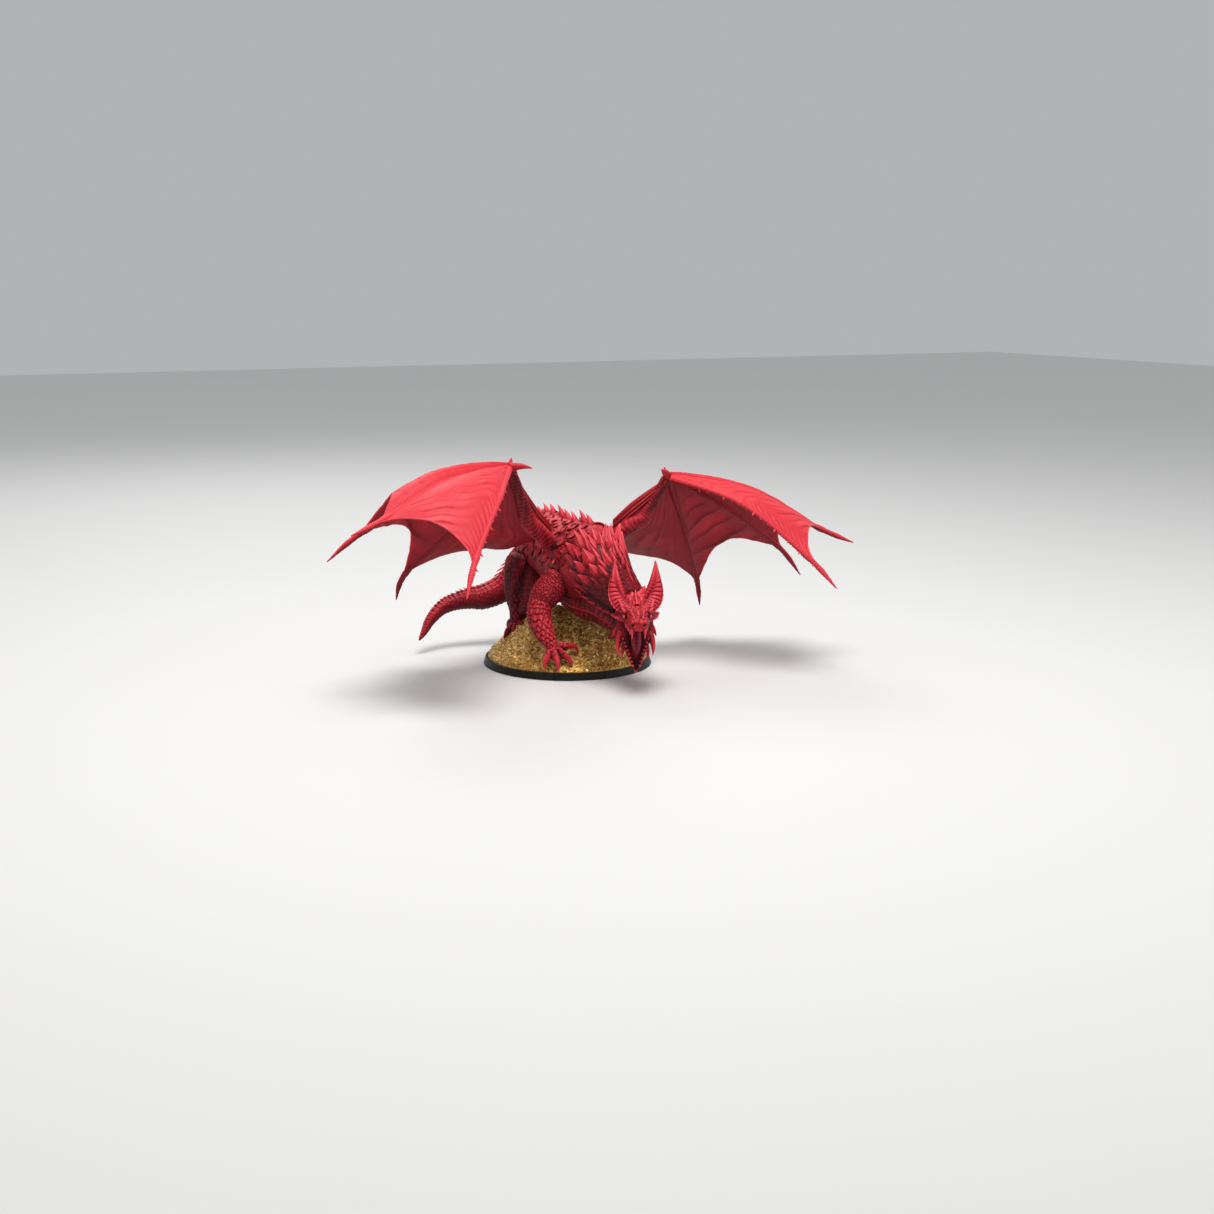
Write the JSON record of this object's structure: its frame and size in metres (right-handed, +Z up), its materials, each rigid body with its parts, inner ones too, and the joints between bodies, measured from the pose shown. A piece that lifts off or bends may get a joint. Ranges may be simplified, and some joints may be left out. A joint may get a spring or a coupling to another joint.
{
  "type": "painted dragon miniature",
  "caption": "Painted tabletop miniature of a red dragon crouching on a gold treasure mound and a round black base, jaws open, with spread wings that push into shoulder sockets.",
  "frame": {"origin": "centre of the round base's underside, on the table plane", "axes": "+Z up, the dragon faces -Y, +X towards the dragon's left wing"},
  "size_m": [0.3202, 0.181, 0.1287],
  "materials": {
    "black_rim": "satin black paint on a plastic game base",
    "gold_paint": "gold paint with a brown wash over sculpted coins",
    "body_red": "red paint with a dark red wash in the recesses and lighter edges, satin",
    "belly_red": "dark red paint with a darker wash, satin",
    "tongue_red": "dull dark pink paint",
    "sail_red": "bright red paint above, dark maroon below, satin"
  },
  "bodies": {
    "figure": {"base_disc": "black_rim", "treasure_mound": "gold_paint", "torso_back": "body_red", "torso_belly": "belly_red", "neck": "body_red", "tail_root": "body_red", "tail_tip": "body_red", "skull": "body_red", "lower_jaw": "body_red", "tongue": "tongue_red", "right_horn": "body_red", "left_horn": "body_red", "right_frill": "body_red", "left_frill": "body_red", "right_foreleg": "body_red", "left_foreleg": "body_red", "right_hindleg": "body_red", "left_hindleg": "body_red"},
    "right_wing": {"right_wing_arm": "body_red", "right_wing_sail": "sail_red"},
    "left_wing": {"left_wing_arm": "body_red", "left_wing_sail": "sail_red"}
  },
  "joints": [
    {"name": "right_wing_pull", "type": "slide", "parent": "figure", "child": "right_wing", "axis": [-0.866, 0, 0.5], "range_m": [0, 0.016]},
    {"name": "left_wing_pull", "type": "slide", "parent": "figure", "child": "left_wing", "axis": [0.866, 0, 0.5], "range_m": [0, 0.016]}
  ]
}
